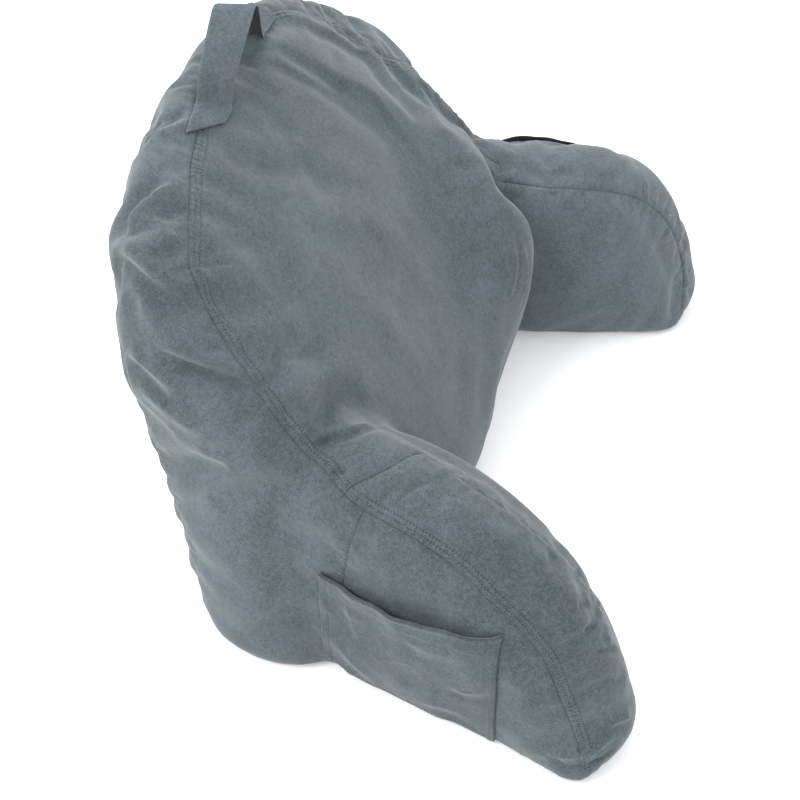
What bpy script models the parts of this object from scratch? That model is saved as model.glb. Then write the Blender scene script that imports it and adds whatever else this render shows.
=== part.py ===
"""Reading pillow with arms, in suede-like cloth: a filled backrest that leans back, two filled arms that spread
outwards, a carrying strap over the top and an open pocket on the outer side of each arm.

Metres, +Z up. The pillow faces -Y, and the near arm is the one at -X. The origin is on the floor, in the middle
of the pillow's footprint.
"""
import math

import bmesh
import bpy
import numpy as np
from mathutils import Vector
from mathutils.bvhtree import BVHTree

# Driving sizes. X is counted from the middle of the backrest and Y from the line where the arms join it, until
# everything moves by SETTLED_AT, which puts the origin in the middle of the footprint.
SETTLED_AT = np.array([0.0058, 0.0117, 0.0])
CLEAR = 0.0004  # between the arms and the backrest
SEWN_CLEAR = 0.0012  # under the strap and the pockets
CLOTH = 0.0022  # a hemmed, doubled layer
CURVE_STEPS = 12  # between two rows of a table, before a curve is spaced out evenly
ARCH_STEPS = 90  # the same over the backrest's arch
SHARP_ANGLE = math.radians(50)  # a steeper edge than this is a cut or folded one

# Backrest: the front seam runs up one side, over the top and down the other.
SEAM_HALF_WIDTH = 0.316
SEAM_KNEE = 0.222  # below this height the sides run straight down
SEAM_TOP = 0.467
SEAM_LEAN = 0.198  # how far back its top lies
SEAM_FLARE = 0.026  # how much wider it is on the floor
FLARE_POWER = 1.3
SEAM_POWERS = (2.36, 3.23)  # of the superellipse over the knee, in x and z
SEAM_FOOT_SET_BACK = 0.013
REAR_HALF_WIDTH = 0.296
REAR_KNEE = 0.211
REAR_TOP = 0.435
REAR_POWERS = (2.45, 2.29)
REAR_FOOT_Y = 0.1415
REAR_TOP_Y = 0.258
REAR_FOOT_BOW = 0.0095
REAR_HOLLOW = 0.010  # how far the rear seam curves in between foot and top
FOOT_ROUND = 0.019  # rounding of the lower edges
PANEL_MIDDLE_Z = 0.200
FRONT_CROWN = 0.040
REAR_CROWN = 0.040
LUMBAR_SWELL = 0.042
LUMBAR_Z = 0.066
LUMBAR_SPREAD = 0.133
LUMBAR_SIDES = 4  # the power with which the swell fades towards the side seams
FRONT_FOOT_BOW = 0.039  # the front seam's foot curves forward by this in the middle
CROWN_POWER = 0.55  # below 1 the cloth rises steeply from its seam
SWELL_POWER = 0.8  # the same for a strip between two seams
FOOT_STILL = 0.02  # folds fade out below this height
SEAM_DRAW = 0.0022  # how far a seam is drawn in
LEAN_SOFTNESS = 0.11  # the height over which the front panel's middle turns from upright to leaning
ROUNDING_SHIFTS = (5, 3, 2, 1)  # in columns, of the running means that round a panel's inner rings
# How far the side panel swells out between its two seams, by height.
SIDE_SWELL = [
    # height, swell
    (0.000, 0.022),
    (0.080, 0.030),
    (0.150, 0.030),
    (0.235, 0.027),
    (0.330, 0.044),
    (0.420, 0.037),
    (0.467, 0.027),
]

# Arms: each side panel is a D on its side. Along is counted from the joining line to the arm's front.
ARM_SPLAY = {"near": math.radians(18.8), "far": math.radians(16.5)}
ARM_START_Y = 0.0266
OUTER_PANEL_X = 0.3305
INNER_PANEL_X = 0.2200
OUTER_CROWN = 0.014
INNER_CROWN = 0.043
# The side panels tuck under at the foot: how far, up to what height, and how far along the arm it lasts.
OUTER_TUCK = (0.004, 0.050, 0.600)
INNER_TUCK = (0.026, 0.150, 0.250)
TUCK_POWER = 1.5
BAND_SWELL = 0.028
BAND_FOOT = 0.030  # the band lies flat below this height
ARM_MIDDLE = (0.114, 0.114)
ARM_REAR = -0.030  # the arm's end that the backrest's cloth closes
ARM_SEAMS = {
    # along, height of the seam between the side panel and the band that runs over the arm
    "near_outer": [(-0.030, 0.228), (0.050, 0.238), (0.109, 0.230), (0.171, 0.207), (0.223, 0.155),
                   (0.271, 0.064), (0.296, 0.012), (0.290, 0.000)],
    "near_inner": [(-0.030, 0.228), (0.057, 0.231), (0.114, 0.226), (0.181, 0.208), (0.247, 0.170),
                   (0.289, 0.123), (0.314, 0.070), (0.330, 0.012), (0.323, 0.000)],
    "far_outer": [(-0.030, 0.212), (0.048, 0.213), (0.109, 0.208), (0.171, 0.200), (0.216, 0.174),
                  (0.259, 0.116), (0.285, 0.050), (0.293, 0.012), (0.286, 0.000)],
    "far_inner": [(-0.030, 0.236), (0.065, 0.237), (0.123, 0.226), (0.181, 0.215), (0.229, 0.188),
                  (0.264, 0.133), (0.290, 0.066), (0.310, 0.012), (0.303, 0.000)],
}

# Creases in the cloth: the points along each, its half width, and its rise, which is below zero in a furrow.
BACKREST_FOLDS = [
    # near side panel, from the rear seam forwards and down
    ([(-0.205, 0.244, 0.388), (-0.263, 0.198, 0.414), (-0.279, 0.150, 0.401)], 0.016, 0.005),
    ([(-0.232, 0.238, 0.360), (-0.286, 0.190, 0.391), (-0.296, 0.150, 0.386)], 0.013, -0.005),
    ([(-0.290, 0.205, 0.345), (-0.313, 0.179, 0.362), (-0.317, 0.111, 0.353), (-0.302, 0.082, 0.338)], 0.015, 0.006),
    ([(-0.313, 0.165, 0.342), (-0.321, 0.145, 0.342), (-0.317, 0.111, 0.327), (-0.302, 0.082, 0.318)], 0.014, -0.006),
    ([(-0.270, 0.215, 0.290), (-0.321, 0.176, 0.302), (-0.340, 0.115, 0.279)], 0.017, 0.005),
    ([(-0.300, 0.190, 0.275), (-0.330, 0.160, 0.262), (-0.335, 0.130, 0.245)], 0.016, -0.004),
    ([(-0.310, 0.185, 0.160), (-0.335, 0.130, 0.130)], 0.020, 0.003),
    # front panel, beside the near seam
    ([(-0.280, 0.081, 0.337), (-0.219, 0.048, 0.304)], 0.017, -0.003),
    ([(-0.309, 0.031, 0.267), (-0.250, 0.000, 0.248)], 0.016, -0.004),
    # long creases that run down the front from behind the strap's far end
    ([(0.122, 0.138, 0.415), (0.165, 0.081, 0.349), (0.169, 0.043, 0.299)], 0.016, 0.004),
    ([(0.110, 0.115, 0.398), (0.144, 0.070, 0.340)], 0.015, -0.003),
    ([(0.170, 0.173, 0.443), (0.263, 0.106, 0.367), (0.281, 0.069, 0.322)], 0.016, 0.005),
    # rear panel
    ([(-0.190, 0.255, 0.330), (-0.120, 0.262, 0.260)], 0.022, 0.004),
    ([(0.200, 0.250, 0.310), (0.110, 0.258, 0.250)], 0.022, 0.004),
    ([(-0.230, 0.190, 0.120), (-0.150, 0.205, 0.160)], 0.022, 0.003),
    ([(0.240, 0.185, 0.100), (0.150, 0.200, 0.170)], 0.022, 0.003),
]
FOLD_REACH = 0.05  # how far off the cloth a fold's points may lie
MIRRORED_SIDE_FOLDS = slice(2, 7)  # these creases of the side panel come back on the far side
ARM_FOLDS = [
    # across the band behind the joining seam
    ([(-0.345, -0.040, 0.245), (-0.290, -0.045, 0.250)], 0.015, -0.003),
    # across the band's front
    ([(-0.352, -0.205, 0.190), (-0.368, -0.241, 0.142), (-0.380, -0.270, 0.095)], 0.015, 0.003),
    # round the toe
    ([(-0.425, -0.215, 0.045), (-0.405, -0.262, 0.057), (-0.355, -0.292, 0.062)], 0.014, -0.004),
]

# Carrying strap: two flat ends sewn on the top, and a tall loop between them.
STRAP_WIDTH = 0.039
STRAP_CLOTH = 0.0030
STRAP_MIDDLE = (0.010, 0.190)
STRAP_HALF_SPAN = 0.080
STRAP_CREST = 0.524  # the height of the underside at the top of the loop, which is level there
STRAP_ARCH = 2.2  # the power of the loop's curve
STRAP_END = 0.034
STRAP_SKEW = 1.1  # its near half slants, until its rear edge reaches this much of the width further
STRAP_STEPS = (6, 22)  # along each sewn end, and along the loop
LOOP_SPACING = 0.8  # below 1 the steps are closer together at the loop's feet
STRAP_COLUMNS = 5

# Pockets on the arms' outer sides, sewn on at the foot and both ends. Along is -y from the joining line, and the
# corner is how much higher the foot starts at the rear, where it is cut off at a slant.
POCKETS = [
    # name, side, rear along, front along, rear hem height, front hem height, foot height, corner, gape
    ("pocket_near", -1, -0.016, 0.165, 0.145, 0.163, 0.006, 0.022, 0.020),
    ("pocket_far", 1, 0.010, 0.134, 0.206, 0.194, 0.070, 0.000, 0.034),
]
POCKET_STEPS = 11
POCKET_COLUMNS = 19
CORNER_SHARE = 0.14  # of a pocket's length that its slanting corner takes
GAPE_POWER = 0.7  # of the bow that the hem makes between its sewn ends
GAPE_RISE = 1.5  # of the curve in which the pocket opens from its foot to its hem

SUEDE = (0.160, 0.189, 0.208, 1.0)
MESH_BLACK = (0.012, 0.012, 0.013, 1.0)


def clear_scene():
    for thing in list(bpy.data.objects):
        bpy.data.objects.remove(thing, do_unlink=True)
    for name in ("reading_pillow", "cutters"):
        bpy.context.scene.collection.children.link(bpy.data.collections.new(name))


def cloth_material(name, colour, roughness):
    material = bpy.data.materials.new(name)
    material.use_nodes = True
    shader = material.node_tree.nodes["Principled BSDF"]
    shader.inputs["Base Color"].default_value = colour
    shader.inputs["Roughness"].default_value = roughness
    shader.inputs["Metallic"].default_value = 0.0
    return material


def spaced(path, count):
    """Points at equal lengths along a path."""
    lengths = np.r_[0, np.cumsum(np.linalg.norm(np.diff(path, axis=0), axis=1))]
    stops = np.linspace(0, lengths[-1], count)
    return np.stack([np.interp(stops, lengths, path[:, k]) for k in range(path.shape[1])], -1)


def curve_through(rows, count):
    """A Catmull-Rom curve through the rows of a table, as equally spaced points."""
    rows = np.array(rows, float)
    ends = np.vstack([2 * rows[0] - rows[1], rows, 2 * rows[-1] - rows[-2]])
    t = np.linspace(0, 1, CURVE_STEPS, endpoint=False)[:, None]
    pieces = []
    for i in range(1, len(ends) - 2):
        a, b, c, d = ends[i - 1:i + 3]
        cubic = (3 * b - a - 3 * c + d) * t**3
        square = (2 * a - 5 * b + 4 * c - d) * t**2
        pieces.append((2 * b + (c - a) * t + square + cubic) / 2)
    return spaced(np.vstack(pieces + [rows[-1:]]), count)


def outward(outline, middle):
    """Unit normals of a closed flat outline, pointing away from its middle."""
    tangent = np.roll(outline, -1, 0) - np.roll(outline, 1, 0)
    normal = np.stack([-tangent[:, 1], tangent[:, 0]], -1)
    normal /= np.linalg.norm(normal, axis=1)[:, None]
    return normal * np.sign((normal * (outline - middle)).sum(1))[:, None]


def ring_radii(count):
    """Radii from near 0 to 1, closer together towards the seam, where the crown bends most."""
    return np.sin(np.linspace(0, np.pi / 2, count + 1)[1:])


def crown(radius):
    return np.clip(1 - radius**2, 0, None) ** CROWN_POWER


def panel_ring(outline, middle, radius):
    """A smaller copy of a panel's outline around its middle, the rounder the smaller it is."""
    spoke = outline - middle
    length = np.linalg.norm(spoke, axis=1)
    rounded = length
    for shift in ROUNDING_SHIFTS:
        rounded = (np.roll(rounded, shift) + rounded + np.roll(rounded, -shift)) / 3
    stretch = 1 + (rounded / length - 1) * (1 - radius**2)
    return middle + spoke * (radius * stretch)[:, None]


def closed_skin(name, rings, material):
    """A closed solid from rings of points, with a pole in the middle of the first and last ring."""
    count = len(rings[0])
    mesh = bmesh.new()
    rows = [[mesh.verts.new(point) for point in ring] for ring in rings]
    for row, following in zip(rows, rows[1:]):
        for i in range(count):
            j = (i + 1) % count
            mesh.faces.new((row[i], row[j], following[j], following[i]))
    for row in (rows[0], rows[-1]):
        pole = mesh.verts.new(np.mean([vert.co for vert in row], axis=0))
        for i in range(count):
            mesh.faces.new((pole, row[i], row[(i + 1) % count]))
    bmesh.ops.recalc_face_normals(mesh, faces=mesh.faces)
    return mesh_object(name, mesh, material)


def mesh_object(name, mesh, material):
    data = bpy.data.meshes.new(name)
    bmesh.ops.triangulate(mesh, faces=mesh.faces)
    mesh.to_mesh(data)
    mesh.free()
    data.shade_smooth()
    data.set_sharp_from_angle(angle=SHARP_ANGLE)
    data.materials.append(material)
    thing = bpy.data.objects.new(name, data)
    bpy.data.collections["reading_pillow"].objects.link(thing)
    return thing


# Backrest

def seam_outline(half_width, knee, top, powers, columns):
    """Half of a panel's outline in x and z, from the middle of its foot to the middle of its top: a straight
    foot, a rounded corner, a side that leans in and a superellipse arch."""
    foot, corner, side, arch = columns
    foot_half = half_width + SEAM_FLARE
    along = np.linspace(0, foot_half - FOOT_ROUND, foot, endpoint=False)
    turn = np.linspace(0, np.pi / 2, corner, endpoint=False)
    height = np.linspace(FOOT_ROUND, knee, side, endpoint=False)
    lean_in = ((knee - height) / (knee - FOOT_ROUND)) ** FLARE_POWER
    angle = np.linspace(0, np.pi / 2, ARCH_STEPS)
    bow = np.stack([half_width * np.cos(angle) ** (2 / powers[0]),
                    knee + (top - knee) * np.sin(angle) ** (2 / powers[1])], -1)
    outline = np.vstack([
        np.stack([along, np.zeros(foot)], -1),
        np.stack([foot_half - FOOT_ROUND * (1 - np.sin(turn)), FOOT_ROUND * (1 - np.cos(turn))], -1),
        np.stack([half_width + SEAM_FLARE * lean_in, height], -1),
        spaced(bow, arch + 1),
    ])
    lift = np.r_[np.zeros(foot), np.sin(turn), np.ones(side + arch + 1)]
    return outline, lift


def both_sides(half):
    """The half outline at -x, then its mirror image back down the +x side."""
    return np.vstack([half * [-1, 1], half[::-1][1:-1]])


def front_seam_y(x, z, softness=0.0):
    above = z - SEAM_KNEE
    rise = (above + np.sqrt(above**2 + softness**2)) / 2 / (SEAM_TOP - SEAM_KNEE)
    fall = np.clip(1 - z / SEAM_KNEE, 0, None)
    bow = FRONT_FOOT_BOW * fall**2 * np.clip(1 - (x / SEAM_HALF_WIDTH) ** 2, 0, 1)
    return SEAM_LEAN * rise + SEAM_FOOT_SET_BACK * fall - bow


def rear_seam_y(x, z):
    share = np.clip(z / REAR_TOP, 0, 1)
    bow = REAR_FOOT_BOW * (1 - share) ** 2 * np.clip(1 - (x / REAR_HALF_WIDTH) ** 2, 0, 1)
    return REAR_FOOT_Y + (REAR_TOP_Y - REAR_FOOT_Y) * share - REAR_HOLLOW * np.sin(np.pi * share) + bow


def backrest_rings(columns, rings):
    """Rings of the backrest's skin: front panel from its middle out, side panel, and rear panel inwards."""
    half, lift = seam_outline(SEAM_HALF_WIDTH, SEAM_KNEE, SEAM_TOP, SEAM_POWERS, columns)
    rear_half, _ = seam_outline(REAR_HALF_WIDTH, REAR_KNEE, REAR_TOP, REAR_POWERS, columns)
    seam, rear_seam = both_sides(half), both_sides(rear_half)
    lift = np.r_[lift, lift[::-1][1:-1]]
    middle = np.array([0, PANEL_MIDDLE_Z])
    normal = outward(seam, middle)
    swell = np.interp(seam[:, 1], *np.array(SIDE_SWELL).T) * lift
    front_count, side_count, rear_count = rings
    skin = []
    for radius in ring_radii(front_count):
        x, z = panel_ring(seam, middle, radius).T
        lumbar = LUMBAR_SWELL * np.exp(-(((z - LUMBAR_Z) / LUMBAR_SPREAD) ** 2))
        lumbar *= np.clip(1 - np.abs(x / SEAM_HALF_WIDTH) ** LUMBAR_SIDES, 0, 1) * math.sqrt(1 - radius**6)
        y = front_seam_y(x, z, LEAN_SOFTNESS * crown(radius)) - FRONT_CROWN * crown(radius) - lumbar
        skin.append(np.stack([x, y, z], -1))
    for share in np.linspace(0, 1, side_count + 1)[1:-1]:
        puff = swell * math.sin(math.pi * share) ** SWELL_POWER
        x, z = (seam * (1 - share) + rear_seam * share + normal * puff[:, None]).T
        y = front_seam_y(*seam.T) * (1 - share) + rear_seam_y(*rear_seam.T) * share
        skin.append(np.stack([x, y, z], -1))
    for radius in ring_radii(rear_count)[::-1]:
        x, z = panel_ring(rear_seam, middle, radius).T
        skin.append(np.stack([x, rear_seam_y(x, z) + REAR_CROWN * crown(radius), z], -1))
    folds = BACKREST_FOLDS + mirrored(BACKREST_FOLDS[MIRRORED_SIDE_FOLDS])
    return settle(crease(skin, folds, [front_count - 1, front_count + side_count - 1]))


def point_normals(rings):
    """Outward unit normals at every point of a ring-built skin, from the neighbours across and around."""
    grid = np.array(rings)
    padded = np.concatenate([grid[:1] * 0 + grid[0].mean(0), grid, grid[:1] * 0 + grid[-1].mean(0)])
    along = padded[2:] - padded[:-2]
    around = np.roll(grid, -1, 1) - np.roll(grid, 1, 1)
    normal = np.cross(along, around)
    normal /= np.linalg.norm(normal, axis=2)[:, :, None] + 1e-12
    facing = (normal * (grid - grid.reshape(-1, 3).mean(0))).sum()
    return normal * np.sign(facing)


def crease(skin, folds, seams):
    """Draws in the rings that are seams, and raises each fold as a ridge, or sinks it as a furrow, with a
    bell-shaped section that fades at its ends."""
    normal = point_normals(skin)
    points = np.array(skin)
    shift = np.zeros(points.shape[:2])
    shift[seams] = -SEAM_DRAW
    for path, width, rise in folds:
        nearest = np.full(points.shape[:2], np.inf)
        for start, end in zip(np.array(path[:-1]), np.array(path[1:])):
            run = end - start
            share = np.clip((points - start) @ run / (run @ run), 0, 1)
            away = points - (start + share[..., None] * run)
            depth = (away * normal).sum(-1)
            nearest = np.minimum(nearest, (away**2).sum(-1) - depth**2 + (depth * width / FOLD_REACH) ** 2)
        shift += rise * np.exp(-nearest / width**2)
    above_floor = np.clip(points[..., 2] / FOOT_STILL, 0, 1)
    return list(points + normal * (shift * above_floor)[..., None])


def mirrored(folds):
    return [([(-x, y, z) for x, y, z in path], width, rise) for path, width, rise in folds]


def settle(skin):
    """Moves the rings to the frame's origin and keeps them on the floor."""
    return [np.maximum(ring + SETTLED_AT, [-np.inf, -np.inf, 0]) for ring in skin]


# Arms

def arm_outline(rows, columns):
    """A side panel's closed outline, along and height: the seam over the arm, its rear end and its foot."""
    over, rear, foot = columns
    crest = curve_through(rows, over)[::-1]
    corner = np.array([ARM_REAR, 0.0])
    down = np.linspace(crest[-1], corner, rear + 1)[1:-1]
    along = np.linspace(corner, crest[0], foot + 1)[:-1]
    return np.vstack([crest, down, along])


def arm_rings(arm, side, columns, rings):
    """Rings of an arm's skin: outer panel from its middle out, the band over the arm, and the inner panel."""
    outer = arm_outline(ARM_SEAMS[arm + "_outer"], columns)
    inner = arm_outline(ARM_SEAMS[arm + "_inner"], columns)
    splay = ARM_SPLAY[arm]
    across = np.array([side * math.cos(splay), math.sin(splay), 0])
    ahead = np.array([side * math.sin(splay), -math.cos(splay), 0])

    def place(start_x, flat, tuck=(0.0, 1.0, 1.0)):
        start = np.array([side * start_x, ARM_START_Y, 0])
        depth, height, reach = tuck
        under = np.clip(1 - flat[:, 1] / height, 0, 1) ** TUCK_POWER * np.clip(1 - flat[:, 0] / reach, 0, 1)
        return start + flat[:, :1] * ahead + flat[:, 1:] * np.array([0, 0, 1]) + depth * under[:, None] * across

    middle = np.array(ARM_MIDDLE)
    normal = outward(outer, middle)
    swell = BAND_SWELL * np.clip(outer[:, 1] / BAND_FOOT, 0, 1)
    outer_tuck = (-OUTER_TUCK[0],) + OUTER_TUCK[1:]
    outer_count, band_count, inner_count = rings
    skin = []
    for radius in ring_radii(outer_count):
        flat = place(OUTER_PANEL_X, panel_ring(outer, middle, radius), outer_tuck)
        skin.append(flat + across * OUTER_CROWN * crown(radius))
    for share in np.linspace(0, 1, band_count + 1)[1:-1]:
        puff = swell * math.sin(math.pi * share) ** SWELL_POWER
        band = place(OUTER_PANEL_X, outer, outer_tuck) * (1 - share) + place(INNER_PANEL_X, inner, INNER_TUCK) * share
        skin.append(band + ahead * (normal[:, 0] * puff)[:, None] + [0, 0, 1] * (normal[:, 1] * puff)[:, None])
    for radius in ring_radii(inner_count)[::-1]:
        flat = place(INNER_PANEL_X, panel_ring(inner, middle, radius), INNER_TUCK)
        skin.append(flat - across * INNER_CROWN * crown(radius))
    folds = ARM_FOLDS if side < 0 else mirrored(ARM_FOLDS)
    return settle(crease(skin, folds, [outer_count - 1, outer_count + band_count - 1]))


def trim_arm(arm, backrest, rings):
    """Cuts an arm back to the backrest's cloth, with a hair's gap, by a copy of it that is that much larger."""
    grown = [ring + CLEAR * point_normals(rings)[k] for k, ring in enumerate(rings)]
    cutter = closed_skin("cutter_" + arm.name, grown, backrest.data.materials[0])
    bpy.data.collections["reading_pillow"].objects.unlink(cutter)
    bpy.data.collections["cutters"].objects.link(cutter)
    cutter.hide_render = True
    cutter.display_type = "WIRE"
    cut = arm.modifiers.new("trim", "BOOLEAN")
    cut.operation = "DIFFERENCE"
    cut.solver = "EXACT"
    cut.object = cutter


# Sewn-on pieces

def surface_trees(things):
    bpy.context.view_layer.update()
    graph = bpy.context.evaluated_depsgraph_get()
    return [BVHTree.FromObject(thing, graph) for thing in things]


def reach_of(trees, start, direction, spread):
    """How far from the start a surface lies, at the nearest of five rays: one in the middle and four beside it."""
    first, second = spread
    offsets = [(0, 0, 0), first, second, [-k for k in first], [-k for k in second]]
    rays = [Vector(start) + Vector(offset) for offset in offsets]
    hits = [tree.ray_cast(ray, Vector(direction)) for tree in trees for ray in rays]
    return min(hit[3] for hit in hits if hit[0] is not None)


def sheet_solid(name, under, over, material):
    """A closed thin solid between two grids of points of the same size."""
    mesh = bmesh.new()
    layers = [[[mesh.verts.new(point) for point in row] for row in grid] for grid in (under, over)]
    rows, columns = len(under), len(under[0])
    for layer in layers:
        for i in range(rows - 1):
            for j in range(columns - 1):
                mesh.faces.new((layer[i][j], layer[i][j + 1], layer[i + 1][j + 1], layer[i + 1][j]))
    low, high = layers
    for i in range(rows - 1):
        for j in (0, columns - 1):
            mesh.faces.new((low[i][j], low[i + 1][j], high[i + 1][j], high[i][j]))
    for j in range(columns - 1):
        for i in (0, rows - 1):
            mesh.faces.new((low[i][j], low[i][j + 1], high[i][j + 1], high[i][j]))
    bmesh.ops.recalc_face_normals(mesh, faces=mesh.faces)
    return mesh_object(name, mesh, material)


def strap(trees, material):
    """The carrying strap. Its ends lie on the cloth, and between them it stands up in a narrow loop."""
    half = STRAP_HALF_SPAN
    end_steps, loop_steps = STRAP_STEPS
    turn = np.linspace(-1, 1, loop_steps)
    loop = half * np.sign(turn) * np.abs(turn) ** LOOP_SPACING
    sewn = np.linspace(half, half + STRAP_END, end_steps + 1)[1:]
    reach = np.r_[-sewn[::-1], loop, sewn]
    across = np.linspace(-STRAP_WIDTH / 2, STRAP_WIDTH / 2, STRAP_COLUMNS)
    spread = ((STRAP_END / end_steps / 2, 0, 0), (0, STRAP_WIDTH / STRAP_COLUMNS / 2, 0))
    under = np.zeros((len(reach), STRAP_COLUMNS, 3))
    for i, step in enumerate(reach):
        raised = max(0.0, 1 - abs(step / half) ** STRAP_ARCH)
        slant = STRAP_SKEW * min(1.0, max(0.0, -step / half))
        for j, shift in enumerate(across):
            x, y = np.array(STRAP_MIDDLE) + (step - slant * shift, shift) + SETTLED_AT[:2]
            cloth = 1 - reach_of(trees, (x, y, 1), (0, 0, -1), spread) + SEWN_CLEAR
            under[i, j] = (x, y, cloth * (1 - raised) + STRAP_CREST * raised)
    normal = grid_normals(under)
    return sheet_solid("strap", under, under + normal * STRAP_CLOTH, material)


def grid_normals(grid):
    """Unit normals of a grid of points, by differences along its rows and columns."""
    normal = np.cross(np.gradient(grid, axis=0), np.gradient(grid, axis=1))
    return normal / np.linalg.norm(normal, axis=2)[:, :, None]


def pocket(row, trees, material):
    """An open pocket: it lies on the arm at its foot and both ends, and stands off along its hem."""
    name, side, rear, front, rear_hem, front_hem, foot, corner, gape = row
    shares = np.linspace(0, 1, POCKET_COLUMNS)
    spread = ((0, (front - rear) / POCKET_COLUMNS / 2, 0), (0, 0, (front_hem - foot) / POCKET_STEPS / 2))
    under = np.zeros((POCKET_STEPS, POCKET_COLUMNS, 3))
    for i, up in enumerate(np.linspace(0, 1, POCKET_STEPS)):
        for j, share in enumerate(shares):
            hem = rear_hem + (front_hem - rear_hem) * share
            low = foot + corner * max(0.0, 1 - share / CORNER_SHARE)
            y, z = SETTLED_AT[1] - (rear + (front - rear) * share), low + (hem - low) * up
            x = 1 - reach_of(trees, (side, y, z), (-side, 0, 0), spread)
            off = gape * math.sin(math.pi * share) ** GAPE_POWER * up**GAPE_RISE
            under[i, j] = (side * (x + SEWN_CLEAR + off), y, z)
    normal = grid_normals(under)
    normal *= np.sign(normal[:, :, :1] * side)
    return sheet_solid(name, under, under + normal * CLOTH, material)


def build():
    clear_scene()
    suede = cloth_material("suede", SUEDE, 0.85)
    black_mesh = cloth_material("black_mesh", MESH_BLACK, 0.7)
    skin = backrest_rings(columns=(7, 3, 13, 37), rings=(12, 11, 9))
    backrest = closed_skin("backrest", skin, suede)
    arms = []
    for arm, side in (("near", -1), ("far", 1)):
        rings = arm_rings(arm, side, columns=(32, 7, 13), rings=(6, 7, 7))
        thing = closed_skin("arm_" + arm, rings, suede)
        trim_arm(thing, backrest, skin)
        arms.append(thing)
    trees = surface_trees([backrest] + arms)
    strap(trees, suede)
    for row in POCKETS:
        pocket(row, trees, suede if row[0] == "pocket_near" else black_mesh)


build()
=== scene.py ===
"""Reading pillow with arms: one sewn cover of suede-like cloth over the filled backrest and arms, its
topstitching, the carrying strap, and a cloth and a net pocket on the arms.

Metres, +Z up. The pillow faces -Y, and the near arm is the one at -X.
"""

import math

import bmesh
import bpy
import numpy as np
from mathutils import Matrix, Vector
from mathutils.bvhtree import BVHTree


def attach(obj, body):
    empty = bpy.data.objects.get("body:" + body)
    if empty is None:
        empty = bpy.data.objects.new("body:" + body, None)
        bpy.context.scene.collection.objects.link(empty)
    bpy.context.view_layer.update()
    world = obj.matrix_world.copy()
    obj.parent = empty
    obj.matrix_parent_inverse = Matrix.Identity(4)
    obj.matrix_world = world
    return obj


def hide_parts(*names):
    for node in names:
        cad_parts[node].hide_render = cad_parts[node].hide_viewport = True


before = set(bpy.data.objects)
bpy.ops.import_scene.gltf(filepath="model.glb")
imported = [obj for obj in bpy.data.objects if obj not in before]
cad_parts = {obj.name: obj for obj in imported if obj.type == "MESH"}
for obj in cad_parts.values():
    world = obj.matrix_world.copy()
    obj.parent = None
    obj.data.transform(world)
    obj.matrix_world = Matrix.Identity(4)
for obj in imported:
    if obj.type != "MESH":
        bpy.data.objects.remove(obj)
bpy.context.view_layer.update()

# ------------------------------------------------------------------------------
# Camera, floor and light. The camera stands beside the near arm and looks down on the pillow. The floor is
# plain and pale, and the light is a bright studio's: a white surround and two soft lamps behind the pillow.
PHOTO_SIDE = 800  # pixels
AZIMUTH, ELEVATION, ROLL = (math.radians(angle) for angle in (-76.0515, 39.8521, -0.163))
DISTANCE = 1.6173
TARGET = np.array([-0.05335, 0.02169, 0.12096])
FOCAL_PIXELS = 1483.76
SENSOR = 36.0

toward_eye = np.array([math.sin(AZIMUTH) * math.cos(ELEVATION), -math.cos(AZIMUTH) * math.cos(ELEVATION),
                       math.sin(ELEVATION)])
level_right = np.cross(-toward_eye, (0, 0, 1))
level_right /= np.linalg.norm(level_right)
level_up = np.cross(level_right, -toward_eye)
image_right = level_right * math.cos(ROLL) + level_up * math.sin(ROLL)
image_up = level_up * math.cos(ROLL) - level_right * math.sin(ROLL)
eye = TARGET + toward_eye * DISTANCE

camera_data = bpy.data.cameras.new("camera")
camera_data.sensor_width = SENSOR
camera_data.lens = FOCAL_PIXELS / PHOTO_SIDE * SENSOR
camera = bpy.data.objects.new("camera", camera_data)
bpy.context.scene.collection.objects.link(camera)
axes_and_place = np.stack([image_right, image_up, toward_eye, eye], 1)
camera.matrix_world = Matrix(np.vstack([axes_and_place, [0, 0, 0, 1]]).tolist())
bpy.context.scene.camera = camera


def sight_line(x, y):
    """The direction from the eye through a pixel of the photograph's frame."""
    half = PHOTO_SIDE / 2
    line = image_right * (x - half) / FOCAL_PIXELS - image_up * (y - half) / FOCAL_PIXELS - toward_eye
    return line / np.linalg.norm(line)


class Wire:
    """A shader socket that takes part in arithmetic: each operator adds a Math node."""

    def __init__(self, finish, socket):
        self.finish, self.socket = finish, socket

    def __add__(self, other):
        return self.finish.maths("ADD", self, other)

    def __sub__(self, other):
        return self.finish.maths("SUBTRACT", self, other)

    def __rsub__(self, other):
        return self.finish.maths("SUBTRACT", other, self)

    def __mul__(self, other):
        return self.finish.maths("MULTIPLY", self, other)

    def __truediv__(self, other):
        return self.finish.maths("DIVIDE", self, other)

    def __pow__(self, other):
        return self.finish.maths("POWER", self, other)

    def __neg__(self):
        return self * -1.0


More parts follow.
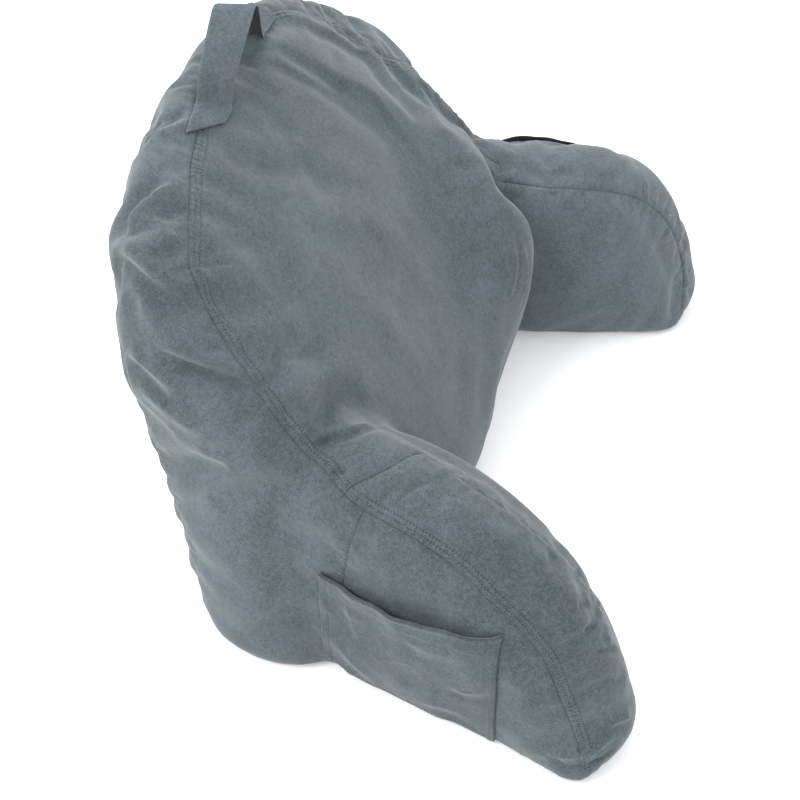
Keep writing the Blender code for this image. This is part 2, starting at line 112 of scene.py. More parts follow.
class Finish:
    """A material under construction, with one way to add any node."""

    def __init__(self, name):
        self.material = bpy.data.materials.new(name)
        self.material.use_nodes = True
        self.tree = self.material.node_tree
        self.shader = self.tree.nodes["Principled BSDF"]

    def node(self, kind, settings=None, output=0, **values):
        """Adds a node of a type, makes its settings, then gives its sockets values or links."""
        node = self.tree.nodes.new("ShaderNode" + kind)
        for key, value in (settings or {}).items():
            if key == "stops":
                while len(node.color_ramp.elements) < len(value):
                    node.color_ramp.elements.new(0.5)
                for element, (place, colour) in zip(node.color_ramp.elements, value):
                    element.position, element.color = place, colour
            else:
                setattr(node, key, value)
        for key, value in values.items():
            number = key[1:] if key[0] == "_" else ""
            self.feed(node.inputs[int(number) if number.isdigit() else key.replace("_", " ")], value)
        return Wire(self, node.outputs[output])

    def feed(self, socket, value):
        if isinstance(value, Wire):
            self.tree.links.new(value.socket, socket)
        else:
            socket.default_value = value

    def maths(self, operation, *values):
        """A Math node on one value or two."""
        return self.node("Math", {"operation": operation}, **{f"_{k}": value for k, value in enumerate(values)})

    def bell(self, distance, width):
        """A bell curve: e to the power of minus (distance / width) squared."""
        return self.maths("EXPONENT", -((distance / width) ** 2.0))

    def channels(self, attribute):
        """The three numbers of a vector attribute of the mesh."""
        parts = self.node("SeparateXYZ", Vector=self.node("Attribute", {"attribute_name": attribute}, 1))
        return [Wire(self, output) for output in parts.socket.node.outputs]

    def blend(self, share, first, second):
        """A colour between two, by the share of the second."""
        return self.node("Mix", {"data_type": "RGBA"}, 2, _0=share, _6=first, _7=second)

    def wear(self, **values):
        """Feeds the Principled shader's sockets."""
        for key, value in values.items():
            self.feed(self.shader.inputs[key.replace("_", " ")], value)


FLOOR_HALF = 60.0
HORIZON_STRENGTH, ZENITH_STRENGTH = 0.74, 1.64
LIT_POINT = (0, 0, 0.15)

floor_mesh = bpy.data.meshes.new("floor")
floor_corners = [(x * FLOOR_HALF, y * FLOOR_HALF, 0) for x, y in ((-1, -1), (1, -1), (1, 1), (-1, 1))]
floor_mesh.from_pydata(floor_corners, [], [(0, 1, 2, 3)])
floor = bpy.data.objects.new("floor", floor_mesh)
bpy.context.scene.collection.objects.link(floor)
pale = Finish("pale_floor")
pale.wear(Base_Color=(0.90, 0.90, 0.905, 1), Roughness=0.9, Specular_IOR_Level=0.0,
          Emission_Color=(1, 1, 1, 1), Emission_Strength=0.25)
floor_mesh.materials.append(pale.material)

world = bpy.data.worlds.new("studio")
world.use_nodes = True
sky = world.node_tree
around = sky.nodes.new("ShaderNodeTexCoord")
parts = sky.nodes.new("ShaderNodeSeparateXYZ")
climb = sky.nodes.new("ShaderNodeMapRange")
sky.links.new(around.outputs["Generated"], parts.inputs[0])
sky.links.new(parts.outputs["Z"], climb.inputs["Value"])
for socket, value in (("To Min", HORIZON_STRENGTH), ("To Max", ZENITH_STRENGTH)):
    climb.inputs[socket].default_value = value
sky.links.new(climb.outputs["Result"], sky.nodes["Background"].inputs["Strength"])
sky.nodes["Background"].inputs["Color"].default_value = (0.97, 0.985, 1.0, 1)
bpy.context.scene.world = world
bpy.context.scene.view_settings.view_transform = "Standard"

LAMPS = [
    # name, place, side, power in watts
    ("lamp_side", (-1.7, 1.2, 2.0), 0.8, 34.0),
    ("lamp_behind", (1.7, 0.9, 1.9), 1.0, 28.0),
]
for name, place, side, power in LAMPS:
    light = bpy.data.lights.new(name, "AREA")
    light.size, light.energy = side, power
    lamp = bpy.data.objects.new(name, light)
    bpy.context.scene.collection.objects.link(lamp)
    lamp.location = place
    lamp.rotation_euler = Vector(np.array(LIT_POINT) - place).to_track_quat("-Z", "Y").to_euler()

# ------------------------------------------------------------------------------
# Cover. Suede-like microfibre, sewn into one skin over the filled backrest and arms. The cushions are joined,
# remeshed and smoothed, the main creases are raised, and the skin is simulated as cloth. The finest creases,
# the seams' grooves and allowances and their puckers come last.
CUSHIONS = ("backrest", "arm_near", "arm_far")
GROWN = 0.001  # the cushions lie 0.4 mm apart, and this closes the gap
VOXEL = 0.005
FORM_ROUNDS = 18  # of relaxing, which takes the frame's facets out
FILLET_ROUNDS = 40
FILLETS = {"arm_near": 0.018, "arm_far": 0.007}  # how far from its joint with the backrest the cover bridges it
FULLER = [
    # cushion, pixel, spread and rise of a place where the filling bulges, or sinks in
    ("backrest", (454, 166), 0.075, 0.016),
    ("backrest", (467, 210), 0.075, 0.037),
    ("backrest", (482, 256), 0.075, 0.039),
    ("backrest", (494, 296), 0.075, 0.017),
    ("backrest", (335, 14), 0.060, -0.014),
    ("backrest", (448, 128), 0.035, -0.006),
    ("backrest", (205, 60), 0.035, -0.005),
    ("backrest", (124, 262), 0.080, 0.006),
    ("backrest", (202, 560), 0.070, 0.003),
    ("backrest", (226, 628), 0.050, 0.002),
    ("arm_near", (470, 722), 0.060, -0.007),
    ("arm_near", (629, 716), 0.028, 0.002),
    ("arm_near", (577, 768), 0.022, 0.007),
    ("arm_far", (677, 312), 0.030, 0.002),
    ("arm_far", (560, 152), 0.060, -0.008),
    ("arm_far", (500, 146), 0.040, -0.009),
    ("arm_far", (618, 164), 0.035, -0.003),
]
SKIN = 0.006  # how far the cover lies from a cushion and still bulges with it
OUT_OF_REACH = 0.1  # stands for any larger distance
SEAM_EASE_ROUNDS = 26
SEAM_EASE = 0.024  # how far from a seam the cover is rounded over


def hump(distance, width):
    """A bell curve: e to the power of minus (distance / width) squared."""
    return np.exp(-((distance / width) ** 2))


def ramp(value, place, softness):
    """From 0 to 1 as the value passes a place: 1 / (1 + e to the power of (place - value) / softness).
    With a softness below 0 it falls."""
    return 1 / (1 + np.exp((place - value) / softness))


def made_mesh(name, shape):
    """A mesh of a bmesh, which is freed."""
    mesh = bpy.data.meshes.new(name)
    shape.to_mesh(mesh)
    shape.free()
    return mesh


def joined(names, grow):
    """One mesh of several CAD nodes, with the loose triangles merged and each point moved out by grow."""
    whole = bmesh.new()
    for name in names:
        one = bmesh.new()
        one.from_mesh(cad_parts[name].data)
        bmesh.ops.remove_doubles(one, verts=one.verts, dist=1e-6)
        one.normal_update()
        for vert in one.verts:
            vert.co += vert.normal * grow
        mesh = made_mesh(name, one)
        whole.from_mesh(mesh)
        bpy.data.meshes.remove(mesh)
    return made_mesh("cushions", whole)


def through(mesh, kind, **settings):
    """The mesh after one modifier has been applied to it."""
    carrier = bpy.data.objects.new("carrier", mesh)
    bpy.context.scene.collection.objects.link(carrier)
    modifier = carrier.modifiers.new(kind, kind)
    for key, value in settings.items():
        setattr(modifier, key, value)
    graph = bpy.context.evaluated_depsgraph_get()
    made = bpy.data.meshes.new_from_object(carrier.evaluated_get(graph))
    bpy.data.objects.remove(carrier)
    return made


def rows_of(items, key, kind, width):
    """One attribute of a mesh's elements, as rows of numbers."""
    flat = np.empty(len(items) * width, kind)
    items.foreach_get(key, flat)
    return flat.reshape(-1, width)


def points_of(mesh):
    return rows_of(mesh.vertices, "co", np.float32, 3).astype(float)


def normals_of(mesh):
    return rows_of(mesh.vertex_normals, "vector", np.float32, 3).astype(float)


def set_points(mesh, points):
    mesh.vertices.foreach_set("co", points.astype(np.float32).ravel())
    mesh.update()


def relaxed(values, edges, rounds, share=0.5):
    """Moves each point by a share of the way to the mean of its neighbours, over and over."""
    first, second = edges.T
    total = len(values)
    count = np.bincount(first, minlength=total) + np.bincount(second, minlength=total)
    for _ in range(rounds):
        sums = [np.bincount(first, values[second, k], total) + np.bincount(second, values[first, k], total)
                for k in range(3)]
        values = values + share * (np.stack(sums, -1) / count[:, None] - values)
    return values


def tree_of(mesh):
    return BVHTree.FromPolygons([*map(tuple, points_of(mesh))], [p.vertices[:] for p in mesh.polygons])


def smooth_path(rows, spacing=0.002):
    """A Catmull-Rom curve through the rows, as points that lie a spacing apart."""
    rows = np.array(rows, float)
    ends = np.vstack([2 * rows[0] - rows[1], rows, 2 * rows[-1] - rows[-2]])
    t = np.linspace(0, 1, 16, endpoint=False)[:, None]
    spans = [(2 * b + (c - a) * t + (2 * a - 5 * b + 4 * c - d) * t**2 + (3 * b - a - 3 * c + d) * t**3) / 2
             for a, b, c, d in zip(ends, ends[1:], ends[2:], ends[3:])]
    dense = np.vstack(spans + [rows[-1:]])
    length = np.r_[0, np.cumsum(np.linalg.norm(np.diff(dense, axis=0), axis=1))]
    stops = np.linspace(0, length[-1], max(3, int(length[-1] / spacing)))
    return np.stack([np.interp(stops, length, dense[:, k]) for k in range(rows.shape[1])], -1)


def seen_on(tree, pixels):
    """Where the sight lines through the pixels meet a surface. Those that miss it are passed over."""
    met = [tree.ray_cast(Vector(eye), Vector(sight_line(x, y)))[0] for x, y in pixels]
    return np.array([spot for spot in met if spot])


def laid_on(tree, points):
    """The nearest points of a surface."""
    return np.array([tree.find_nearest(Vector(point))[0] for point in points])


form = through(joined(CUSHIONS, GROWN), "REMESH", mode="VOXEL", voxel_size=VOXEL, adaptivity=0.0)
edges = rows_of(form.edges, "vertices", np.int32, 2)
rough = points_of(form)
smooth = relaxed(rough, edges, FORM_ROUNDS)
smooth = smooth + relaxed(rough - smooth, edges, FORM_ROUNDS)

# The bulges, then the fillets: a point is near a joint if it is close both to the backrest and to an arm.
solids = {name: tree_of(joined([name], 0)) for name in CUSHIONS}
away = {name: np.array([solids[name].find_nearest(Vector(p), OUT_OF_REACH)[3] or OUT_OF_REACH for p in smooth])
        for name in CUSHIONS}
set_points(form, smooth)
for cushion, pixel, spread, rise in FULLER:
    apart = np.linalg.norm(smooth - seen_on(solids[cushion], [pixel]), axis=1)
    bulge = rise * hump(apart, spread) * hump(away[cushion], SKIN)
    smooth = smooth + normals_of(form) * bulge[:, None]
for arm, fillet in FILLETS.items():
    joint = np.maximum(away["backrest"], away[arm])
    smooth = relaxed(smooth, edges, FILLET_ROUNDS, 0.5 * hump(joint, fillet)[:, None])
set_points(form, smooth)

# The seams. The main one runs from the near arm's toe along the arm, up the side of the front panel, over the
# top and back down to the far arm's toe. Where the camera sees a seam, its points are the photograph's pixels.
SETTLED_AT = np.array([0.0058, 0.0117, 0.0])  # the middle of the pillow, between its arms
MIRROR = np.array([-1, 1, 1])
REAR_HALF_WIDTH, REAR_KNEE, REAR_TOP = 0.296, 0.211, 0.435
REAR_POWERS = (2.45, 2.29)
REAR_FOOT_Y, REAR_TOP_Y, REAR_HOLLOW = 0.1415, 0.258, 0.010
REAR_FOOT = SETTLED_AT + [-REAR_HALF_WIDTH - 0.015, REAR_FOOT_Y + 0.002, 0.010]
MAIN_SEAM_SEEN = [
    (580, 776), (580, 765), (579, 751), (575, 735), (567, 715), (557, 691), (547, 665), (538, 652),
    (520, 631), (502, 614), (478, 590), (457, 570), (433, 552), (409, 537), (389, 525), (363, 510),
    (344, 495), (325, 471), (300, 447), (275, 415), (255, 385), (235, 355), (213, 320), (200, 291),
    (191, 268), (189, 235), (190, 200), (191, 165), (197, 133),
]
TOP_SEAM = [(-0.080, 0.216, 0.470), (-0.040, 0.222, 0.474), (0.010, 0.225, 0.475), (0.060, 0.223, 0.474)]
FAR_TOP_SEAM_SEEN = [(262, 14), (275, 10), (289, 9), (305, 12), (322, 18), (340, 26), (357, 35), (380, 53)]
FAR_TOP_CLEAR = 0.03  # how far under the last of these points the main seam's mirror image sets in
JOINING_SEAM_SEEN = [(344, 494), (352, 486), (370, 476), (391, 465), (412, 454), (427, 455)]
JOINING_FAR_SHIFT = 0.055  # how much further in the far one lies than its mirror image
NEAR_INNER_SEAM_SEEN = [
    (611, 632), (601, 609), (588, 591), (577, 569), (557, 555), (542, 536), (525, 523), (505, 509),
    (486, 495), (469, 482), (450, 472), (427, 455),
]
NEAR_SIDE_SEAM_SEEN = [(363, 510), (352, 537), (346, 555), (342, 579), (338, 612)]
FAR_INNER_SEAM_SEEN = [
    (504, 180), (517, 184), (536, 185), (552, 186), (573, 189), (587, 190), (609, 191), (624, 193),
    (636, 198), (645, 202), (655, 209), (665, 215), (668, 221), (674, 229), (675, 239), (680, 248),
    (683, 258), (686, 266), (684, 277), (686, 288), (681, 299), (683, 308), (682, 319),
]
SEAM_SPACING = 0.004


def rear_arch():
    """Half of the rear panel's edge over its knee, from the near side to the middle of the top: a superellipse
    in x and z, and in y a straight lean with a hollow."""
    angle = np.linspace(0, np.pi / 2, 40)
    x = -REAR_HALF_WIDTH * np.cos(angle) ** (2 / REAR_POWERS[0])
    z = REAR_KNEE + (REAR_TOP - REAR_KNEE) * np.sin(angle) ** (2 / REAR_POWERS[1])
    y = REAR_FOOT_Y + (REAR_TOP_Y - REAR_FOOT_Y) * z / REAR_TOP - REAR_HOLLOW * np.sin(np.pi * z / REAR_TOP)
    return np.stack([x, y, z], -1) + SETTLED_AT


def evened(rows, power):
    """A path without the jitter of its points: each coordinate as a polynomial of the length along it."""
    length = np.r_[0, np.cumsum(np.linalg.norm(np.diff(rows, axis=0), axis=1))]
    length = 2 * length / length[-1] - 1
    return np.stack([np.polyval(np.polyfit(length, rows[:, k], power), length) for k in range(3)], -1)


tree = tree_of(form)
near_half = seen_on(tree, MAIN_SEAM_SEEN)
far_half = near_half[::-1] * MIRROR
far_top = seen_on(tree, FAR_TOP_SEAM_SEEN)
far_half = far_half[far_half[:, 2] < far_top[-1, 2] - FAR_TOP_CLEAR]
rear_half = np.vstack([REAR_FOOT, rear_arch()[2:]])
SEAMS = {
    "main": np.vstack([near_half, TOP_SEAM, far_top, far_half]),
    "rear": np.vstack([rear_half, (rear_half * MIRROR)[-2::-1]]),
    "joining_near": seen_on(tree, JOINING_SEAM_SEEN),
    "joining_far": seen_on(tree, JOINING_SEAM_SEEN) * MIRROR - [JOINING_FAR_SHIFT, 0, 0],
    "inner_near": evened(seen_on(tree, NEAR_INNER_SEAM_SEEN), 3),
    "inner_far": evened(seen_on(tree, FAR_INNER_SEAM_SEEN), 7),
    "side_near": seen_on(tree, NEAR_SIDE_SEAM_SEEN),
    "side_far": seen_on(tree, NEAR_SIDE_SEAM_SEEN) * MIRROR,
}
PLAIN_SEAMS = [name for name in SEAMS if name != "main"]
seam_paths = {name: smooth_path(laid_on(tree, rows), SEAM_SPACING) for name, rows in SEAMS.items()}
STRETCH = 12  # the points of a path that are looked at together
DEPTH_SHARE = 0.95  # how much of the depth under the surface is left out of a distance


def along_path(points, normals, path):
    """For each point its distance to a path, counted in the surface, the side of the path that it is on, as
    a sign, and the length along the path of the nearest place on it."""
    best = np.full(len(points), np.inf)
    side, place, walked = np.ones(len(points)), np.zeros(len(points)), 0.0
    for start, end in zip(path[:-1], path[1:]):
        run = end - start
        length = np.linalg.norm(run)
        share = np.clip((points - start) @ run / length**2, 0, 1)
        offset = points - start - share[:, None] * run
        depth = (offset * normals).sum(1)
        far = np.sqrt(np.clip((offset**2).sum(1) - DEPTH_SHARE * depth**2, 0, None))
        nearer = far < best
        best[nearer] = far[nearer]
        side[nearer] = np.sign((np.cross(normals[nearer], run) * offset[nearer]).sum(1))
        place[nearer] = walked + share[nearer] * length
        walked += length
    side[side == 0] = 1
    return best, side, place


def within(points, path, reach):
    """Which points lie in the box around a path."""
    return np.where(((points > path.min(0) - reach) & (points < path.max(0) + reach)).all(1))[0]


def seam_field(points, normals, names, reach=0.05):
    """For each point the length along the nearest of the named seams, its signed distance and its plain one."""
    field = np.stack([np.zeros(len(points)), np.full(len(points), reach), np.full(len(points), reach)], -1)
    for name in names:
        path = seam_paths[name]
        for part in range(0, len(path) - 1, STRETCH):
            stretch = path[part:part + STRETCH + 1]
            picked = within(points, stretch, reach)
            if len(picked) == 0:
                continue
            far, side, place = along_path(points[picked], normals[picked], stretch)
            nearer = far < field[picked, 2]
            picked, far, side, place = picked[nearer], far[nearer], side[nearer], place[nearer]
            walked = np.linalg.norm(np.diff(path[:part + 1], axis=0), axis=1).sum()
            field[picked] = np.stack([walked + place, far * side, far], -1)
    return field


field = seam_field(smooth, normals_of(form), SEAMS)
smooth = relaxed(smooth, edges, SEAM_EASE_ROUNDS, 0.5 * hump(field[:, 2], SEAM_EASE)[:, None])
smooth[:, 2] = np.clip(smooth[:, 2], 0, None)
set_points(form, smooth)

# The creases. Their points are the photograph's pixels too. A ridge with a furrow beside it has the furrow on
# the left of the way that its path runs, and a negative rise is a furrow.
CREASES = [
    # half width, rise, furrow beside it, path
    (0.0094, 0.0084, 0.0093, [(200, 283), (181, 287), (167, 279), (153, 269), (138, 257), (119, 239)]),
    (0.0087, 0.0065, 0.0034, [(189, 351), (178, 340), (158, 327), (138, 292), (122, 271)]),
    (0.0058, 0.0059, 0.0093, [(268, 370), (255, 375), (229, 368), (202, 360), (170, 349), (149, 347)]),
    (0.0101, 0.0072, 0.0068, [(188, 389), (170, 383), (151, 367), (127, 345)]),
    (0.0094, 0.0059, 0.0043, [(212, 440), (183, 420), (157, 401), (135, 377)]),
    (0.0087, 0.0072, 0.0102, [(127, 233), (130, 220), (154, 196), (172, 181)]),
    (0.0052, -0.0075, -0.003, [(189, 108), (170, 121), (151, 135), (141, 153)]),
    (0.0046, -0.0053, -0.0023, [(167, 116), (154, 127), (143, 140)]),
    (0.0078, -0.0053, 0, [(186, 204), (172, 211), (157, 220)]),
    (0.0065, 0.0053, 0.003, [(175, 232), (163, 242), (149, 253)]),
    (0.0052, -0.0053, 0, [(120, 227), (130, 231), (140, 233)]),
    (0.0022, -0.0014, -0.001, [(242, 264), (214, 266), (190, 268), (168, 275)]),
    (0.0044, 0.0034, 0.0035, [(374, 427), (350, 430), (330, 434), (307, 440)]),
    (0.003, 0.002, 0.003, [(348, 465), (338, 467), (328, 470)]),
    (0.004, 0.0012, 0.0012, [(313, 349), (292, 352), (269, 355)]),
    (0.0065, 0.002, 0.0015, [(433, 172), (416, 147), (395, 124), (367, 91), (342, 79), (312, 61), (286, 48),
                             (264, 38)]),
    (0.0072, 0.0016, 0.0014, [(375, 124), (357, 109), (332, 91), (302, 73), (276, 61), (257, 55)]),
    (0.0078, 0.0024, 0.0018, [(392, 78), (373, 56), (347, 41), (322, 28), (294, 18), (274, 9)]),
    (0.004, -0.0035, -0.001, [(436, 480), (423, 484), (410, 490), (398, 500), (387, 513)]),
    (0.0035, -0.0025, 0, [(406, 485), (392, 490), (377, 500)]),
    (0.0045, 0.0035, 0, [(432, 498), (418, 508), (403, 519)]),
    (0.004, -0.0018, 0, [(541, 571), (549, 564), (557, 555)]),
    (0.004, -0.0018, 0, [(570, 583), (575, 577), (581, 570)]),
    (0.005, 0.0045, 0.003, [(624, 724), (604, 742), (580, 755), (556, 756), (530, 751)]),
    (0.0035, -0.004, 0, [(606, 758), (580, 768), (559, 768), (538, 765)]),
    (0.003, -0.0035, -0.001, [(645, 181), (643, 192), (645, 201)]),
    (0.0035, 0.0035, 0.002, [(666, 207), (668, 216)]),
    (0.0028, -0.0025, -0.001, [(583, 190), (584, 198), (584, 208)]),
    (0.0028, -0.0025, -0.001, [(621, 193), (622, 200), (621, 210)]),
    (0.0045, -0.0042, 0, [(577, 607), (590, 603), (603, 601)]),
    (0.004, -0.0045, 0, [(583, 629), (598, 625), (612, 622)]),
    (0.0045, -0.0045, 0, [(590, 656), (604, 651), (618, 649)]),
    (0.005, -0.0042, 0, [(596, 685), (611, 681), (625, 679)]),
    (0.004, -0.0035, 0, [(586, 645), (597, 640), (608, 637)]),
    (0.0048, 0.005, 0.003, [(630, 715), (618, 719), (604, 727)]),
    (0.0035, -0.0035, 0, [(584, 772), (600, 762), (618, 746)]),
    (0.003, -0.0035, 0, [(571, 771), (556, 762), (540, 750)]),
    (0.003, 0.0025, 0, [(584, 762), (594, 752), (607, 742)]),
    (0.0065, -0.008, 0, [(243, 66), (252, 54), (262, 45), (272, 40)]),
    (0.0045, 0.003, 0.002, [(592, 622), (576, 628), (560, 640)]),
    (0.0045, 0.0025, 0.002, [(590, 668), (575, 672), (560, 682)]),
    (0.004, 0.0025, 0.002, [(523, 246), (527, 262), (526, 284), (519, 306)]),
    (0.0035, 0.002, 0.002, [(512, 238), (516, 256), (515, 280), (509, 300)]),
]
BROAD = 0.005  # half width from which a crease is in the cloth before it is simulated
CREASE_SPACING = 0.006
NEAR_SIDE = 0.05  # a crease of the backrest that lies this far to the near side has a mirror image
FAINTER = 0.5  # share of the rise that the mirror image has


def crease(points, normals, path, half_width, rise, furrow):
    """How far each point moves out for one crease. Across it the ridge falls off as e to the power of minus
    (distance / half width) to the 1.15, a furrow lies beside it, and both fade out towards its ends."""
    picked = within(points, path, half_width * 5)
    far, side, place = along_path(points[picked], normals[picked], path)
    length = np.linalg.norm(np.diff(path, axis=0), axis=1).sum()
    fade = np.clip(1.4 * np.sin(np.pi * np.clip(place / length, 0.02, 0.98)), 0, 1)
    ridge = rise * np.exp(-((far / half_width) ** 1.15))
    dip = furrow * hump(far * side - 1.7 * half_width, 1.2 * half_width)
    move = np.zeros(len(points))
    move[picked] = fade * (ridge - dip)
    return move


def creased(mesh, narrowest, broadest):
    """How far each point moves out for the creases whose half width is in a range. Those on the near side of
    the backrest have fainter mirror images on its far side."""
    tree, points, normals = tree_of(mesh), points_of(mesh), normals_of(mesh)
    move = np.zeros(len(points))
    for half_width, rise, furrow, row in CREASES:
        if not narrowest <= half_width < broadest:
            continue
        path = smooth_path(seen_on(tree, row), CREASE_SPACING)
        move += crease(points, normals, path, half_width, rise, furrow)
        if path[:, 0].max() < -NEAR_SIDE and path[:, 1].min() > -NEAR_SIDE:
            mirrored = laid_on(tree, path[::-1] * MIRROR)
            move += FAINTER * crease(points, normals, mirrored, half_width, rise, furrow)
    return move


smooth = smooth + normals_of(form) * creased(form, BROAD, 1.0)[:, None]
set_points(form, smooth)

# The cloth is cut a little larger than the filling and is held at its seams and on the floor. Its broad
# swelling is the form's already, so it is taken out again, and the slack folds are left. They are kept near the
# seams and high on the backrest, in part elsewhere, and evened out on the front panel.
CLOTH = {
    "quality": 4, "mass": 0.3, "air_damping": 4, "tension_stiffness": 25, "compression_stiffness": 25,
    "shear_stiffness": 15, "bending_stiffness": 40, "use_pressure": True, "uniform_pressure_force": 3.0,
    "shrink_min": -0.05,  # cut larger by this share
    "vertex_group_mass": "held", "pin_stiffness": 3,
}
FRAMES = 15
HELD_WIDTH, HELD_HEIGHT = 0.005, 0.004  # where the seams and the floor hold it
SWELL_ROUNDS = 90  # of relaxing, which leaves only the broad swelling
EVEN_ROUNDS = 6
FURTHEST = 0.012  # that the simulation moves a point
SLACK_LEAST, SLACK_MORE, SLACK_WIDTH = 0.32, 0.60, 0.028  # share kept all over, share and width beside a seam
FRONT_SHARE = 0.6
FRONT_FACING, FRONT_HALF_WIDTH = 0.45, 0.21  # where the front panel is
UPPER_FROM = 0.20  # height from which the backrest's folds are kept
ON_BACKREST = 0.02  # how far from the backrest's solid a point still belongs to it


def buckled(mesh, held):
    """The mesh's points after the cloth simulation, in which it is held by the shares given."""
    carrier = bpy.data.objects.new("carrier", mesh)
    bpy.context.scene.collection.objects.link(carrier)
    group = carrier.vertex_groups.new(name="held")
    for tenth in range(1, 11):
        group.add(np.where(held > tenth / 10 - 0.05)[0].tolist(), tenth / 10, "REPLACE")
    cloth = carrier.modifiers.new("cloth", "CLOTH")
    for key, value in CLOTH.items():
        setattr(cloth.settings, key, value)
    cloth.settings.effector_weights.gravity = 0
    cloth.collision_settings.use_collision = False
    cloth.point_cache.frame_start, cloth.point_cache.frame_end = 1, FRAMES
    for number in range(1, FRAMES + 1):
        bpy.context.scene.frame_set(number)
    made = bpy.data.meshes.new_from_object(carrier.evaluated_get(bpy.context.evaluated_depsgraph_get()))
    bpy.data.objects.remove(carrier)
    bpy.context.scene.frame_set(1)
    return points_of(made)


field = seam_field(smooth, normals_of(form), SEAMS)
held = np.maximum(hump(field[:, 2], HELD_WIDTH), smooth[:, 2] < HELD_HEIGHT)
step = buckled(form, held) - smooth
step -= relaxed(step, edges, SWELL_ROUNDS)
even = relaxed(step, edges, EVEN_ROUNDS)
front = hump(away["backrest"], ON_BACKREST) * ramp(-normals_of(form)[:, 1], FRONT_FACING, 0.08)
front *= ramp(np.abs(smooth[:, 0]), FRONT_HALF_WIDTH, -0.02)
upper = (away["backrest"] < ON_BACKREST) * ramp(smooth[:, 2], UPPER_FROM, 0.02)
slack = SLACK_LEAST + SLACK_MORE * np.maximum(hump(field[:, 2], SLACK_WIDTH), upper)
step = step * ((1 - front) * slack)[:, None] + even * (FRONT_SHARE * front)[:, None]
step *= np.minimum(1, FURTHEST / np.maximum(np.linalg.norm(step, axis=1), 1e-9))[:, None]
smooth = smooth + step
smooth[:, 2] = np.clip(smooth[:, 2], 0, None)
set_points(form, smooth)
cover_mesh = through(form, "SUBSURF", levels=1, render_levels=1)
points, normals = points_of(cover_mesh), normals_of(cover_mesh)


def cloudy(points, size, seed):
    """Smooth noise from -1 to 1: random values on a lattice with cells of a size, blended by 3t^2 - 2t^3."""
    size = np.broadcast_to(size, 3)
    cells = (points - points.min(0)) / size
    lattice = np.random.default_rng(seed).uniform(-1, 1, np.ceil(cells.max(0)).astype(int) + 2)
    corner = cells.astype(int)
    t = cells - corner
    t = t * t * (3 - 2 * t)
    total = np.zeros(len(points))
    for step in np.ndindex(2, 2, 2):
        share = np.prod(np.where(step, t, 1 - t), 1)
        total += share * lattice[tuple((corner + step).T)]
    return total


# The cloth between the creases is never quite even: it has shallow rises, longest up and down.
move = creased(cover_mesh, 0.0, BROAD)
move += 0.0012 * cloudy(points, (0.075, 0.060, 0.110), 3) + 0.0004 * cloudy(points, (0.034, 0.030, 0.052), 4)

# The seams are drawn in. Along the main one the doubled cloth stands proud and two rows of stitches press it
# down. Under each arm's band lie the inner seam's allowances. Puckers run out from every seam, in groups.
SEAM_GROOVE, PLAIN_GROOVE, GROOVE_WIDTH = 0.0011, 0.0012, 0.0018
STITCH_ROWS = (0.0058, 0.0112)
PITCH = 0.0034  # of the stitches
DOUBLED_RISE, PRESSED_DIP, PRESSED_WIDTH = 0.0009, 0.0007, 0.0015
ALLOWANCE_RISE = 0.0012
PUCKERS = ((0.0072, 0.45), (0.0113, 0.8), (0.0178, 1.0))  # wavelength and share
main = seam_field(points, normals, ["main"])
plain = seam_field(points, normals, PLAIN_SEAMS)
inner = seam_field(points, normals, ["inner_near", "inner_far"])
signed = main[:, 1]
doubled = ramp(signed, -0.0005, -0.0008) * ramp(signed, -0.0145, 0.0012)
pressed = sum(hump(signed + row, PRESSED_WIDTH) for row in STITCH_ROWS)
move += doubled * (DOUBLED_RISE - PRESSED_DIP * pressed) - SEAM_GROOVE * hump(main[:, 2], GROOVE_WIDTH)
move -= PLAIN_GROOVE * hump(plain[:, 2], GROOVE_WIDTH)
move += ALLOWANCE_RISE * ramp(inner[:, 1], 0.0005, 0.0007) * ramp(inner[:, 1], 0.0120, -0.0015)


def puckered(field, seed):
    """Waves along a seam: sines of several lengths, swelling and fading by noise, that die away from it."""
    along, signed, apart = field.T
    drift = 2.5 * cloudy(points, 0.030, seed)
    waves = sum(share * np.sin(2 * np.pi * along / length + drift * k + (signed > 0) * 1.3)
                for k, (length, share) in enumerate(PUCKERS, 1))
    swell = np.clip(0.55 + 0.9 * cloudy(points, 0.055, seed + 1), 0.1, 1.3)
    return waves * swell * np.exp(-apart / 0.011) * (1 - hump(apart, 0.003))


move += 0.00075 * puckered(main, 11) + 0.00050 * puckered(plain, 21) + 0.00100 * puckered(inner, 41)
points = points + normals * move[:, None]
points[:, 2] = np.clip(points[:, 2], 0, None)
set_points(cover_mesh, points)
cover_mesh.name = "cover"


def give(mesh, name, values):
    """Stores a number or a vector for each point."""
    kind, key = ("FLOAT", "value") if values.ndim == 1 else ("FLOAT_VECTOR", "vector")
    attribute = mesh.attributes.new(name, kind, "POINT")
    attribute.data.foreach_set(key, values.astype(np.float32).ravel())


# Each panel's nap was cut in its own direction: the near arm's looks a little darker, the far arm's lighter.
# On top of that, painted light makes the far arm's up-facing band lighter, and painted shade darkens the near
# arm's up-facing parts. The point attribute stored here says how much lighter, or below 0 darker, the colour is.
near_part, far_part = (ramp(side * points[:, 0], 0.19, 0.01) * ramp(points[:, 1], 0.03, -0.02)
                       for side in (-1, 1))
facing_up = np.clip(normals[:, 2], 0, 1)
give(cover_mesh, "nap", -0.08 + far_part * (0.05 + 0.11 * facing_up) + near_part * (-0.03 - 0.02 * facing_up))
give(cover_mesh, "main_seam", main)
give(cover_mesh, "plain_seam", plain)
cover_tree = tree_of(cover_mesh)

# Suede: a matt brushed nap in blue-grey, darker and greener where it is stroked the other way.
NAP_LIGHT = (0.134, 0.158, 0.176, 1)
NAP_DARK = (0.041, 0.055, 0.057, 1)
# The near-black colour of painted shade, in the seams' grooves and within the strap's loop.
PAINTED_SHADE_COLOUR = (0.016, 0.020, 0.022, 1)
LADDER = 0.0062  # the wavelength of the small gathers that the stitches pull in


